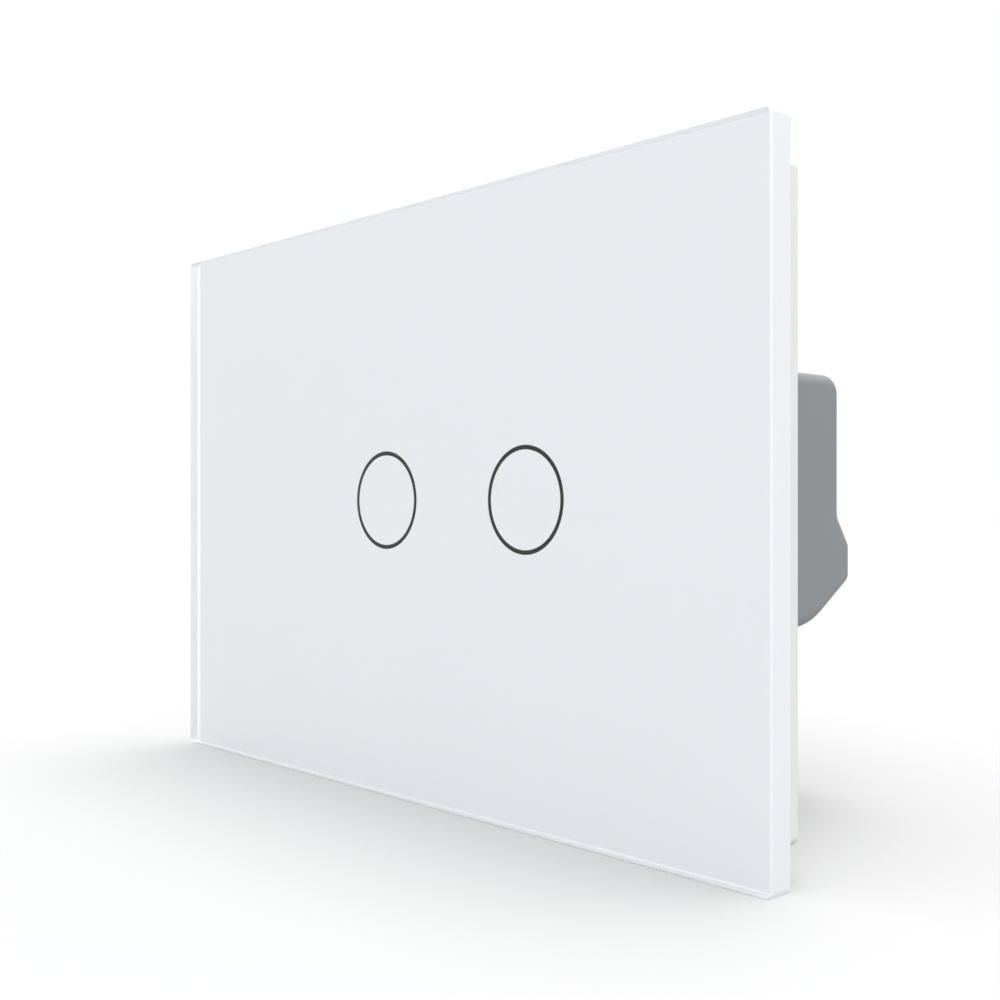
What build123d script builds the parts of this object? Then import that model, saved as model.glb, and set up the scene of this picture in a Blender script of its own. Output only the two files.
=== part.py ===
from build123d import *
import math
import os

# A two-key touch light switch: a flat glass panel that pulls off a screwed base frame, with the touch board
# behind the glass and a grey housing in the wall box that holds two relays and five rising-clamp terminals.
# Millimetres. +X right and +Z up as seen from the room, +Y into the wall, the wall's surface at Y = 0.

# Panel
panel_width = 118.0
panel_height = 80.0
panel_corner_radius = 0.8
panel_standoff = 9.2
glass_thickness = 3.4
glass_chamfer = 0.2
bond_gap = 0.03
print_thickness = 0.12
print_side_margin = 1.1
print_end_margin = 0.4
print_rise = 0.19
adhesive_thickness = 0.45
adhesive_width = 4.6
adhesive_inset = 0.7
frame_inset = 3.35
frame_corner_radius = 1.0
carrier_width = 7.0
seat_gap = 0.3

# Touch rings
ring_radius = 6.47
ring_stroke = 0.56
ring_spacing = 27.89
ring_edge_margin = 13.81
module_rise = 0.35

# Carrier tongues and their slots
tongue_width = 8.0
tongue_thickness = 1.4
tongue_spacing = 70.0
tongue_clearance = 0.2
tongue_end_gap = 0.4
pry_width = 9.0
pry_depth = 1.3

# Base frame
base_thickness = 2.7
base_edge_fillet = 0.4
box_screw_offset = 4.25
box_slot_radius = 2.0
box_slot_length = 7.0
box_head_radius = 3.8
box_head_sink = 0.9
housing_recess = 0.5
housing_recess_gap = 0.4
collar_wall = 1.6
window_margin = 5.8
window_margin_z = 3.8

# Touch module
touch_board_side_gap = 1.1
touch_board_thickness = 1.0
board_clearance = 0.25
cover_gap = 0.4
cover_thickness = 0.8
cover_rib = 0.9
guide_flange = 0.8
guide_hole_clearance = 0.1
led_length = 2.0
led_width = 1.2
led_height = 0.6
led_clearance = 0.4
pad_thickness = 0.1
pad_width = 2.2
touch_chip_length = 9.9
touch_chip_width = 3.9
touch_chip_height = 1.5
touch_chip_offset = 1.1

# Rear housing
housing_width = 75.0
housing_height = 33.65
housing_depth = 35.7
housing_wall = 1.6
housing_edge_fillet = 1.5
housing_top_radius = 2.6
ridge_depth = 38.35
ridge_rise = 10.925
ridge_height = 5.0
ridge_step = 3.8
ridge_radius = 1.6
belly_slope = 0.646
belly_radius = 11.0
post_size = 5.4
post_length = 10.0
screw_inset = 2.9
housing_screw_radius = 1.1
housing_screw_length = 8.0
housing_head_radius = 2.0
housing_head_height = 1.3
screw_clearance = 0.05
drive_depth = 0.6
drive_width = 0.5
drive_length = 2.4
rib_thickness = 1.6
rib_height = 12.0

# Power board
power_board_y = 17.8
power_board_thickness = 1.6
lead_radius = 0.3
lead_tail = 0.9
lead_clearance = 0.08

# Terminals
terminal_count = 5
terminal_pitch = 10.0
terminal_gap = 0.2
terminal_bay_clearance = 0.3
wire_radius = 1.6
funnel = 0.4
bar_width = 4.4
bar_thickness = 0.8
bar_clearance = 0.05
pin_width = 1.0
clamp_width = 6.4
clamp_length = 5.6
clamp_side_wall = 0.8
clamp_thread_wall = 1.3
clamp_end_wall = 1.1
clamp_gap = 0.2
clamp_clearance = 0.15
clamp_travel = 1.8
terminal_front_wall = 1.4
web_thickness = 0.7
web_gap = 0.1
clamp_screw_radius = 1.5
clamp_head_radius = 2.5
clamp_head_height = 1.4
clamp_head_clearance = 0.2
clamp_slot_width = 0.7
clamp_slot_depth = 0.7
thread_clearance = 0.05

# Relays
relay_width = 10.2
relay_length = 18.4
relay_height = 15.3
relay_pin_gap = 0.85
relay_case_wall = 0.7
relay_base_height = 1.8
relay_clearance = 0.1
yoke_thickness = 1.0
yoke_width = 7.0
core_radius = 1.4
pole_radius = 2.3
pole_height = 0.6
coil_radius = 3.7
coil_offset = 3.3
bobbin_flange = 0.6
bobbin_wall = 0.5
armature_thickness = 0.9
armature_air_gap = 0.65
armature_lift = 0.12
armature_overhang = 1.0
leaf_thickness = 0.3
leaf_width = 3.2
contact_radius = 1.1
contact_height = 0.4
contact_gap = 0.62
contact_drop = 7.0
blade_thickness = 0.5
blade_width = 3.0
winding_clearance = 0.05

# Other parts on the power board
part_gap = 0.6
fuse_radius = 4.1
fuse_height = 7.6
film_capacitor_width = 5.0
film_capacitor_length = 13.0
film_capacitor_height = 11.0
film_capacitor_pitch = 8.7
smoothing_radius = 3.5
smoothing_height = 12.0
smoothing_groove = 0.35
smoothing_groove_rise = 1.4
smoothing_z = 0.5
transformer_width = 10.0
transformer_length = 10.4
transformer_height = 9.6
transformer_z = 6.4
transformer_leg = 1.7
transformer_coil_gap = 0.15
transformer_pin_inset = 1.7
varistor_radius = 4.4
varistor_thickness = 3.4
rectifier_length = 6.4
rectifier_width = 4.8
rectifier_height = 2.5
converter_length = 4.9
converter_width = 3.9
converter_height = 1.5
body_edge_fillet = 0.5

# Board connector
connector_pitch = 2.54
connector_rows = 5
connector_columns = 2
pin_thickness = 0.64
pin_hole_clearance = 0.06
header_height = 2.5
socket_height = 8.5
pin_floor = 1.2

# A cut runs past the faces it opens by this much
overrun = 1.0

# Planes along Y, from the room to the wall box
front_y = -panel_standoff
glass_back_y = front_y + glass_thickness
print_front_y = glass_back_y + bond_gap
print_back_y = print_front_y + print_thickness
carrier_front_y = print_back_y + adhesive_thickness
base_front_y = -base_thickness
carrier_back_y = base_front_y - seat_gap
cover_front_y = print_back_y + cover_gap
cover_back_y = cover_front_y + cover_thickness
touch_board_front_y = base_front_y - touch_board_thickness
power_board_back_y = power_board_y + power_board_thickness
housing_front_y = -housing_recess

# Outer sizes of the frames
frame_width = panel_width - 2 * frame_inset
frame_height = panel_height - 2 * frame_inset
carrier_window_width = frame_width - 2 * carrier_width
carrier_window_height = frame_height - 2 * carrier_width

# Housing
half_housing = housing_height / 2
inner_half_width = housing_width / 2 - housing_wall
inner_half_height = half_housing - housing_wall
ridge_top_z = ridge_rise - half_housing
ridge_bottom_z = ridge_top_z - ridge_height
belly_corner_y = ridge_depth - (half_housing + ridge_bottom_z) / belly_slope
screw_x = inner_half_width - screw_inset
screw_z = inner_half_height - screw_inset
power_board_width = 2 * (inner_half_width - board_clearance)
power_board_height = 2 * (inner_half_height - board_clearance)
box_screw_spacing = housing_width + 2 * box_screw_offset

# Touch module, as wide as the housing's inside less a gap
touch_board_width = 2 * (inner_half_width - touch_board_side_gap)
touch_board_height = 2 * (inner_half_height - board_clearance)
collar_inner_width = touch_board_width + 2 * board_clearance
collar_inner_height = touch_board_height + 2 * board_clearance
collar_width = collar_inner_width + 2 * collar_wall
collar_height = collar_inner_height + 2 * collar_wall
window_width = touch_board_width - 2 * window_margin
window_height = touch_board_height - 2 * window_margin_z
right_ring_x = touch_board_width / 2 - ring_edge_margin
ring_places = [right_ring_x - ring_spacing, right_ring_x]
touch_chip_x = ring_places[0] - touch_chip_offset

# Terminals, stacked down from the wire entry to the screw head
wire_z = ridge_top_z - ridge_height / 2
bar_top_z = wire_z - wire_radius - bar_clearance
bar_bottom_z = bar_top_z - bar_thickness
thread_top_z = bar_bottom_z - clamp_gap
clamp_bottom_z = thread_top_z - clamp_thread_wall
clamp_window_top_z = wire_z + wire_radius + bar_clearance
clamp_top_z = clamp_window_top_z + clamp_end_wall
web_top_z = clamp_bottom_z - clamp_travel - web_gap
web_bottom_z = web_top_z - web_thickness
head_top_z = web_bottom_z - thread_clearance
head_bottom_z = head_top_z - clamp_head_height
block_front_y = power_board_back_y
bay_front_y = block_front_y + terminal_front_wall
clamp_y = bay_front_y + clamp_clearance + clamp_length / 2
bay_back_y = clamp_y + clamp_length / 2 + clamp_clearance
block_top_z = clamp_top_z + clamp_clearance + clamp_end_wall
terminal_places = [(i - (terminal_count - 1) / 2) * terminal_pitch for i in range(terminal_count)]
bay_half_width = terminal_count * terminal_pitch / 2 + terminal_bay_clearance

# Relays stand above the terminal pins. Their own levels along Z run from the armature's hinge out
# to the fixed contact's blade, and those along Y from the room to the wall box.
relay_z = bar_top_z + relay_pin_gap + relay_length / 2
hinge_z = coil_radius + winding_clearance + yoke_thickness / 2 - coil_offset
leaf_z = hinge_z + yoke_thickness / 2 + armature_overhang + leaf_thickness / 2
blade_z = leaf_z + leaf_thickness / 2 + 2 * contact_height + contact_gap + blade_thickness / 2
coil_z = -coil_offset
armature_end_z = coil_z - pole_radius
relay_floor_y = power_board_y - relay_base_height
relay_top_y = power_board_y - relay_height
armature_front_y = relay_top_y + relay_case_wall + relay_clearance + armature_lift
armature_back_y = armature_front_y + armature_thickness
hinge_y = armature_back_y + screw_clearance + yoke_thickness / 2
pole_top_y = armature_back_y + armature_air_gap
contact_y = armature_back_y + contact_drop

# Board connector
connector_width = connector_columns * connector_pitch
connector_length = connector_rows * connector_pitch
socket_front_y = power_board_y - socket_height
pin_tip_y = power_board_y - pin_floor

# Columns of parts across the power board, with even gaps between them
column_widths = [
    2 * varistor_radius,
    relay_width,
    relay_width,
    connector_width,
    transformer_width,
    film_capacitor_width,
    2 * smoothing_radius,
]
column_gap = (power_board_width - sum(column_widths)) / (len(column_widths) + 1)
column_ends = [sum(column_widths[:i + 1]) + (i + 1) * column_gap for i in range(len(column_widths))]
column_places = [end - width / 2 - power_board_width / 2 for end, width in zip(column_ends, column_widths)]
fuse_x, *relay_places, connector_x, transformer_x, film_capacitor_x, smoothing_x = column_places
varistor_z = block_top_z + part_gap + varistor_thickness / 2
fuse_z = varistor_z + varistor_thickness / 2 + part_gap + fuse_radius
film_capacitor_z = block_top_z + part_gap + film_capacitor_pitch / 2
rectifier_z = transformer_z - (transformer_length + rectifier_width) / 2 - part_gap
converter_z = (connector_length + converter_length) / 2 + part_gap
transformer_window = (transformer_width - 4 * transformer_leg) / 2
transformer_front_y = power_board_y - transformer_height
transformer_foot_y = power_board_y - transformer_leg


def block(low, high):
    """A box between two opposite corners."""
    size = [b - a for a, b in zip(low, high)]
    centre = [(a + b) / 2 for a, b in zip(low, high)]
    return Pos(*centre) * Box(*size)


def slab(width, height, y0, y1, x=0, z=0):
    """A plate parallel to the wall, from y0 to y1."""
    return block((x - width / 2, y0, z - height / 2), (x + width / 2, y1, z + height / 2))


def rounded_slab(width, height, radius, y0, y1):
    """A plate parallel to the wall with rounded corners."""
    face = Plane.XZ.offset(-y1) * RectangleRounded(width, height, radius)
    return extrude(face, y1 - y0)


def rod_y(radius, y0, y1, x=0, z=0):
    """A cylinder square to the wall, from y0 to y1."""
    return Pos(x, (y0 + y1) / 2, z) * Rot(90, 0, 0) * Cylinder(radius, y1 - y0)


def rod_z(radius, z0, z1, x=0, y=0):
    """An upright cylinder from z0 to z1."""
    return Pos(x, y, (z0 + z1) / 2) * Cylinder(radius, z1 - z0)


def rod_x(radius, x0, x1, y=0, z=0):
    """A cylinder along the panel's width, from x0 to x1."""
    return Pos((x0 + x1) / 2, y, z) * Rot(0, 90, 0) * Cylinder(radius, x1 - x0)


def raised(shape):
    """The module and its rings sit slightly above the panel's middle."""
    return Pos(0, 0, module_rise) * shape


def save(name, *shapes):
    """Write one node, as one solid or a group of separate solids."""
    solids = [s for shape in shapes for s in shape.solids()]
    shape = solids[0] if len(solids) == 1 else Compound(children=solids)
    export_step(shape, f"parts/{name}.step")


def frame_slab(outer_width, outer_height, inner_width, inner_height, radius, y0, y1):
    """A rectangular frame with rounded outer corners."""
    hole = slab(inner_width, inner_height, y0 - overrun, y1 + overrun)
    return rounded_slab(outer_width, outer_height, radius, y0, y1) - hole


def ring_disc(radius, y0, y1):
    """One disc behind each touch ring, for cutting and for pads."""
    return [raised(rod_y(radius, y0, y1, x)) for x in ring_places]


# Glass panel and what is bonded to its back

def glass_panel():
    glass = rounded_slab(panel_width, panel_height, panel_corner_radius, front_y, glass_back_y)
    rim = glass.faces().filter_by(Axis.Y).edges()
    return chamfer(rim, glass_chamfer)


def ring_band(y0, y1):
    outer = ring_disc(ring_radius + ring_stroke / 2, y0, y1)
    inner = ring_disc(ring_radius - ring_stroke / 2, y0 - overrun, y1 + overrun)
    return [a - b for a, b in zip(outer, inner)]


def back_print():
    width = panel_width - 2 * print_side_margin
    height = panel_height - 2 * print_end_margin
    sheet = slab(width, height, print_front_y, print_back_y, 0, print_rise)
    for band in ring_band(print_front_y - overrun, print_back_y + overrun):
        sheet -= band
    return sheet


def panel_adhesive():
    width = frame_width - 2 * adhesive_inset
    height = frame_height - 2 * adhesive_inset
    inner = width - 2 * adhesive_width, height - 2 * adhesive_width
    return frame_slab(width, height, *inner, frame_corner_radius, print_back_y, carrier_front_y)


def tongue_slabs(clearance, y0, y1):
    """The four tongues, or the slots that take them."""
    z = frame_height / 2 - carrier_width / 2
    width = tongue_width + 2 * clearance
    height = tongue_thickness + 2 * clearance
    sides = (-1, 1)
    return [slab(width, height, y0, y1, a * tongue_spacing / 2, b * z) for a in sides for b in sides]


def panel_carrier():
    outer = frame_width, frame_height
    inner = carrier_window_width, carrier_window_height
    carrier = frame_slab(*outer, *inner, frame_corner_radius, carrier_front_y, carrier_back_y)
    for tongue in tongue_slabs(0, carrier_front_y, -tongue_end_gap):
        carrier += tongue
    notch = block(
        (-pry_width / 2, carrier_back_y - pry_depth, -frame_height / 2 - overrun),
        (pry_width / 2, carrier_back_y + overrun, -frame_height / 2 + pry_depth),
    )
    return carrier - notch


# Base frame, screwed to the wall box

def box_slots(radius, length, y0, y1):
    """The two slots for the wall-box screws, at one radius and length."""
    tools = []
    for side in (-1, 1):
        place = Pos(side * box_screw_spacing / 2, 0)
        face = Plane.XZ.offset(-y1) * place * SlotOverall(length, 2 * radius)
        tools.append(extrude(face, y1 - y0))
    return tools


def housing_screw_places():
    return [(a * screw_x, b * screw_z) for a in (-1, 1) for b in (-1, 1)]


def base_frame():
    base = rounded_slab(frame_width, frame_height, frame_corner_radius, base_front_y, 0)
    rim = base.faces().sort_by(Axis.Y)[0].edges()
    base = fillet(rim, base_edge_fillet)
    base += raised(slab(collar_width, collar_height, cover_back_y, base_front_y))
    base -= raised(slab(collar_inner_width, collar_inner_height, cover_back_y - overrun, base_front_y))
    base -= raised(slab(window_width, window_height, base_front_y - overrun, overrun))
    for slot in box_slots(box_slot_radius, box_slot_length, base_front_y - overrun, overrun):
        base -= slot
    sink_length = box_slot_length + 2 * (box_head_radius - box_slot_radius)
    sink_y = base_front_y + box_head_sink
    collar = raised(slab(collar_width, collar_height, cover_back_y, sink_y))
    for sink in box_slots(box_head_radius, sink_length, base_front_y - overrun, sink_y):
        base -= sink - collar
    for slot in tongue_slabs(tongue_clearance, base_front_y - overrun, overrun):
        base -= slot
    recess_width = housing_width + 2 * housing_recess_gap
    recess_height = housing_height + 2 * housing_recess_gap
    base -= raised(slab(recess_width, recess_height, housing_front_y, overrun))
    head_depth = housing_head_height + screw_clearance
    for x, z in housing_screw_places():
        base -= raised(rod_y(housing_screw_radius + screw_clearance, base_front_y, overrun, x, z))
        head_radius = housing_head_radius + screw_clearance
        base -= raised(rod_y(head_radius, base_front_y - overrun, base_front_y + head_depth, x, z))
    return base


# Touch module: cover, light guides, board and what it carries

def module_cover():
    cover = slab(collar_width, collar_height, cover_front_y, cover_back_y)
    rib_width = collar_inner_width - 2 * board_clearance
    rib_length = collar_inner_height - 2 * board_clearance
    rib = slab(rib_width, rib_length, cover_back_y, touch_board_front_y - board_clearance)
    rib -= slab(rib_width - 2 * cover_rib, rib_length - 2 * cover_rib, cover_front_y, touch_board_front_y)
    cover = raised(cover + rib)
    hole = ring_radius + guide_flange + guide_hole_clearance
    for disc in ring_disc(hole, cover_front_y - overrun, cover_back_y + overrun):
        cover -= disc
    return cover


def light_guides():
    back_y = touch_board_front_y - pad_thickness
    guides = []
    for x in ring_places:
        guide = rod_y(ring_radius + guide_flange, cover_front_y, cover_back_y, x)
        guide += rod_y(ring_radius + 2 * guide_flange, cover_back_y, back_y, x)
        side = led_length + 2 * led_clearance
        pocket_y = touch_board_front_y - led_height - led_clearance
        guides.append(raised(guide - slab(side, side, pocket_y, back_y + overrun, x)))
    return guides


def indicator_leds():
    return [raised(slab(led_length, led_width, touch_board_front_y - led_height, touch_board_front_y, x))
            for x in ring_places]


def touch_pads():
    pads = []
    y0 = touch_board_front_y - pad_thickness
    y1 = touch_board_front_y
    for x in ring_places:
        hole = rod_y(ring_radius - pad_width, y0 - overrun, y1 + overrun, x)
        pads.append(raised(rod_y(ring_radius, y0, y1, x) - hole))
    return pads


def touch_chip():
    y1 = base_front_y + touch_chip_height
    chip = slab(touch_chip_length, touch_chip_width, base_front_y, y1, touch_chip_x)
    return raised(chip)


# Board connector

def pin_places():
    columns = [(i - (connector_columns - 1) / 2) * connector_pitch for i in range(connector_columns)]
    rows = [(i - (connector_rows - 1) / 2) * connector_pitch for i in range(connector_rows)]
    return [(connector_x + a, b) for a in columns for b in rows]


def pin_bars(thickness, y0, y1):
    return [slab(thickness, thickness, y0, y1, x, z) for x, z in pin_places()]


def touch_board():
    board = slab(touch_board_width, touch_board_height, touch_board_front_y, base_front_y)
    hole_width = pin_thickness + 2 * pin_hole_clearance
    for hole in pin_bars(hole_width, touch_board_front_y - overrun, base_front_y + overrun):
        board -= hole
    return raised(board)


def board_header():
    header_back_y = base_front_y + header_height
    header = slab(connector_width, connector_length, base_front_y, header_back_y, connector_x)
    for hole in pin_bars(pin_thickness, base_front_y - overrun, header_back_y + overrun):
        header -= hole
    return raised(header)


def header_pins():
    return [raised(pin) for pin in pin_bars(pin_thickness, touch_board_front_y, pin_tip_y)]


def board_socket():
    socket = slab(connector_width, connector_length, socket_front_y, power_board_y, connector_x)
    hole_width = pin_thickness + 2 * pin_hole_clearance
    for hole in pin_bars(hole_width, socket_front_y - overrun, pin_tip_y + pin_hole_clearance):
        socket -= hole
    return raised(socket)


# Rear housing

def housing_profile():
    """The housing's side outline in Y and Z: a rounded top, a ridge low on the back and a curved belly."""
    points = [
        (housing_front_y, half_housing),
        (housing_depth, half_housing),
        (housing_depth, ridge_top_z + ridge_step),
        (ridge_depth, ridge_top_z),
        (ridge_depth, ridge_bottom_z),
        (belly_corner_y, -half_housing),
        (housing_front_y, -half_housing),
    ]
    radii = [housing_top_radius, ridge_radius, ridge_radius, ridge_radius, belly_radius]
    line = FilletPolyline(*points, radius=radii)
    return make_face(line + Line(points[-1], points[0]))


def housing_body(width, inset):
    """The outline taken across a width, drawn in by an even inset."""
    face = housing_profile()
    if inset:
        face = offset(face, amount=-inset)
    return extrude(Plane.YZ.offset(-width / 2) * face, width)


def housing_core():
    core = housing_body(2 * inner_half_width, housing_wall)
    front = slab(2 * inner_half_width, 2 * inner_half_height, housing_front_y - overrun, 2 * housing_wall)
    return core + front


def terminal_bay():
    """The part of the housing's wall that the terminal blocks take the place of."""
    y0 = block_front_y + 2 * terminal_bay_clearance
    return block(
        (-bay_half_width, y0, -half_housing - overrun),
        (bay_half_width, ridge_depth + overrun, block_top_z + terminal_bay_clearance),
    )


def rear_housing():
    solid = housing_body(housing_width, 0)
    ends = solid.faces().filter_by(Axis.X).edges()
    front = solid.faces().sort_by(Axis.Y)[0].edges()
    solid = fillet([e for e in ends if e not in front], housing_edge_fillet)
    core = housing_core()
    shell = solid - core
    for a in (-1, 1):
        for b in (-1, 1):
            x = a * (inner_half_width - post_size / 2)
            z = b * (inner_half_height - post_size / 2)
            shell += slab(post_size, post_size, housing_front_y, post_length, x, z)
    for a in (-1, 1):
        x = a * (inner_half_width - rib_thickness / 2)
        rib_back_y = housing_depth - housing_wall
        shell += slab(rib_thickness, rib_height, power_board_back_y, rib_back_y, x, rib_thickness)
    for x, z in housing_screw_places():
        shell -= rod_y(housing_screw_radius + screw_clearance, -overrun, housing_screw_length, x, z)
    return raised(shell - terminal_bay())


def housing_screw(x, z):
    head_y = base_front_y + screw_clearance
    screw = rod_y(housing_head_radius, head_y, head_y + housing_head_height, x, z)
    screw += rod_y(housing_screw_radius, head_y + housing_head_height, head_y + housing_screw_length, x, z)
    for size in ((drive_length, drive_width), (drive_width, drive_length)):
        screw -= slab(*size, head_y - overrun, head_y + drive_depth, x, z)
    return raised(screw)


# Terminals

def terminal_block(x):
    """One pole: a block whose back and bottom continue the housing's outline."""
    half = (terminal_pitch - terminal_gap) / 2
    y0 = block_front_y + 3 * terminal_bay_clearance
    outer = housing_body(2 * half, 0) & block((-half, y0, -half_housing), (half, ridge_depth, block_top_z))
    inner = block((-half, block_front_y, -inner_half_height + board_clearance), (half, y0, block_top_z))
    body = outer + inner
    body -= block((-clamp_width / 2 - clamp_clearance, bay_front_y, web_top_z),
                  (clamp_width / 2 + clamp_clearance, bay_back_y, clamp_top_z + clamp_clearance))
    body -= rod_y(wire_radius, bay_front_y, ridge_depth + overrun, 0, wire_z)
    mouth = Pos(0, ridge_depth - funnel / 2, wire_z) * Rot(-90, 0, 0)
    body -= mouth * Cone(wire_radius, wire_radius + funnel, funnel)
    screw_bore = clamp_screw_radius + thread_clearance
    head_bore = clamp_head_radius + clamp_head_clearance
    body -= rod_z(screw_bore, web_bottom_z - overrun, web_top_z + overrun, 0, clamp_y)
    body -= rod_z(head_bore, -half_housing - overrun, web_bottom_z, 0, clamp_y)
    body -= block((-bar_width / 2 - bar_clearance, block_front_y - overrun, bar_bottom_z - bar_clearance),
                  (bar_width / 2 + bar_clearance, bay_front_y + overrun, bar_top_z + bar_clearance))
    return raised(Pos(x, 0, 0) * body)


def terminal_bar(x):
    """The fixed contact: a flat bar through the clamp and a pin through the power board."""
    bar = block((-bar_width / 2, block_front_y + bar_clearance, bar_bottom_z),
                (bar_width / 2, bay_back_y, bar_top_z))
    bar += block((-pin_width / 2, power_board_y - lead_tail, bar_bottom_z),
                 (pin_width / 2, block_front_y + 2 * bar_clearance, bar_top_z))
    return raised(Pos(x, 0, 0) * bar)


def terminal_clamp(x):
    """The rising clamp: a box open along the wire, threaded through its lower wall."""
    y0 = clamp_y - clamp_length / 2
    y1 = clamp_y + clamp_length / 2
    half = clamp_width / 2
    clamp = block((-half, y0, clamp_bottom_z), (half, y1, clamp_top_z))
    clamp = fillet(clamp.edges().filter_by(Axis.Y), clamp_side_wall / 2)
    inner = half - clamp_side_wall
    clamp -= block((-inner, y0 - overrun, thread_top_z), (inner, y1 + overrun, clamp_window_top_z))
    bore = clamp_screw_radius + thread_clearance
    clamp -= rod_z(bore, clamp_bottom_z - overrun, thread_top_z + overrun, 0, clamp_y)
    return raised(Pos(x, 0, 0) * clamp)


def terminal_screw(x):
    """A captive clamp screw with its slotted head at the bottom."""
    screw = rod_z(clamp_head_radius, head_bottom_z, head_top_z, 0, clamp_y)
    screw += rod_z(clamp_screw_radius, head_top_z, bar_bottom_z - bar_clearance, 0, clamp_y)
    slot_half = clamp_slot_width / 2
    reach = clamp_head_radius + overrun
    screw -= block((-reach, clamp_y - slot_half, head_bottom_z - overrun),
                   (reach, clamp_y + slot_half, head_bottom_z + clamp_slot_depth))
    return raised(Pos(x, 0, 0) * screw)


# Power board and the parts with leads

def lead_places():
    """Where leads pass through the power board, by part."""
    sides = (-1, 1)
    film_half = film_capacitor_pitch / 2
    pin_x = transformer_width / 2 - transformer_pin_inset
    pin_z = transformer_length / 2 - transformer_pin_inset
    corners = [(a * pin_x, b * pin_z) for a in sides for b in sides]
    return {
        "film_capacitor": [(film_capacitor_x, film_capacitor_z + s * film_half) for s in sides],
        "smoothing_capacitor": [(smoothing_x + s * smoothing_radius / 2, smoothing_z) for s in sides],
        "varistor": [(fuse_x + s * varistor_radius / 2, varistor_z) for s in sides],
        "fuse": [(fuse_x, fuse_z + s * fuse_radius / 2) for s in sides],
        "transformer": [(transformer_x + x, transformer_z + z) for x, z in corners],
    }


def leads(name):
    tail_y = power_board_back_y + lead_tail
    return [rod_y(lead_radius, power_board_y, tail_y, x, z) for x, z in lead_places()[name]]


def with_leads(body, name):
    for lead in leads(name):
        body += lead
    return raised(body)


def power_board():
    board = slab(power_board_width, power_board_height, power_board_y, power_board_back_y)
    notch = post_size + board_clearance
    for a in (-1, 1):
        for b in (-1, 1):
            x = a * (inner_half_width - notch / 2)
            z = b * (inner_half_height - notch / 2)
            board -= slab(notch, notch, power_board_y - overrun, power_board_back_y + overrun, x, z)
    hole = lead_radius + lead_clearance
    for places in lead_places().values():
        for x, z in places:
            board -= rod_y(hole, power_board_y - overrun, power_board_back_y + overrun, x, z)
    pin_hole = math.hypot(pin_width, bar_thickness) / 2 + lead_clearance
    for x in terminal_places:
        z = (bar_top_z + bar_bottom_z) / 2
        board -= rod_y(pin_hole, power_board_y - overrun, power_board_back_y + overrun, x, z)
    tab = blade_width + 2 * lead_clearance
    for x in relay_places:
        board -= slab(tab, blade_thickness + 2 * lead_clearance, power_board_y - overrun,
                      power_board_back_y + overrun, x, relay_z + blade_z)
    return raised(board)


def fuse():
    body = rod_y(fuse_radius, power_board_y - fuse_height, power_board_y, fuse_x, fuse_z)
    body = fillet(body.edges().sort_by(Axis.Y)[0], body_edge_fillet)
    return with_leads(body, "fuse")


def film_capacitor():
    body = slab(film_capacitor_width, film_capacitor_length, power_board_y - film_capacitor_height,
                power_board_y, film_capacitor_x, film_capacitor_z)
    body = fillet(body.edges().filter_by(Axis.Y), body_edge_fillet)
    return with_leads(body, "film_capacitor")


def smoothing_capacitor():
    top_y = power_board_y - smoothing_height
    body = rod_y(smoothing_radius, top_y, power_board_y, smoothing_x, smoothing_z)
    body = fillet(body.edges().sort_by(Axis.Y)[0], body_edge_fillet)
    groove_place = Pos(smoothing_x, power_board_y - smoothing_groove_rise, smoothing_z)
    body -= groove_place * Rot(90, 0, 0) * Torus(smoothing_radius, smoothing_groove)
    return with_leads(body, "smoothing_capacitor")


def varistor():
    """A disc that stands on its two leads, square to the panel's height."""
    y = power_board_y - varistor_radius - lead_tail
    half = varistor_thickness / 2
    body = rod_z(varistor_radius, varistor_z - half, varistor_z + half, fuse_x, y)
    body = fillet(body.edges(), body_edge_fillet)
    for x, z in lead_places()["varistor"]:
        body += rod_y(lead_radius, y, power_board_back_y + lead_tail, x, z)
    return raised(body)


def rectifier():
    body = slab(rectifier_length, rectifier_width, power_board_y - rectifier_height, power_board_y,
                transformer_x, rectifier_z)
    return raised(chamfer(body.faces().sort_by(Axis.Y)[0].edges(), body_edge_fillet))


def converter_chip():
    chip = slab(converter_width, converter_length, power_board_y - converter_height, power_board_y,
                connector_x, converter_z)
    return raised(chip)


def transformer_leg_slab(grow, length):
    """The core's middle leg along Z, or the hole in the winding that clears it."""
    y0 = transformer_front_y + transformer_window - grow
    y1 = transformer_foot_y - transformer_window + grow
    return slab(2 * (transformer_leg + grow), length, y0, y1, transformer_x, transformer_z)


def transformer_core():
    """A ferrite frame with a middle leg for the winding."""
    opening = 2 * (transformer_leg + transformer_window)
    depth = transformer_front_y, transformer_foot_y
    cut = transformer_front_y - overrun, transformer_foot_y + overrun
    core = slab(transformer_width, transformer_length, *depth, transformer_x, transformer_z)
    core -= slab(opening, transformer_length - 2 * transformer_leg, *cut, transformer_x, transformer_z)
    return raised(core + transformer_leg_slab(0, transformer_length))


def transformer_winding():
    """The winding round the middle leg, clear of the frame."""
    gap = transformer_coil_gap
    width = 2 * (transformer_leg + transformer_window - gap)
    length = transformer_length - 2 * (transformer_leg + gap)
    depth = transformer_front_y + gap, transformer_foot_y - gap
    winding = slab(width, length, *depth, transformer_x, transformer_z)
    return raised(winding - transformer_leg_slab(gap, length + overrun))


def transformer_base():
    """The moulded foot that carries the core and the leads."""
    depth = transformer_foot_y, power_board_y
    base = slab(transformer_width, transformer_length, *depth, transformer_x, transformer_z)
    return with_leads(base, "transformer")


# Relays. Each stands on the power board and reaches towards the room; its length lies along Z,
# with the coil at the bottom and the contacts at the top.

def relay_base():
    base = slab(relay_width, relay_length, relay_floor_y, power_board_y)
    blade = slab(blade_width + 2 * screw_clearance, blade_thickness + 2 * screw_clearance,
                 relay_floor_y - overrun, power_board_y + overrun, 0, blade_z)
    return base - blade


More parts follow.
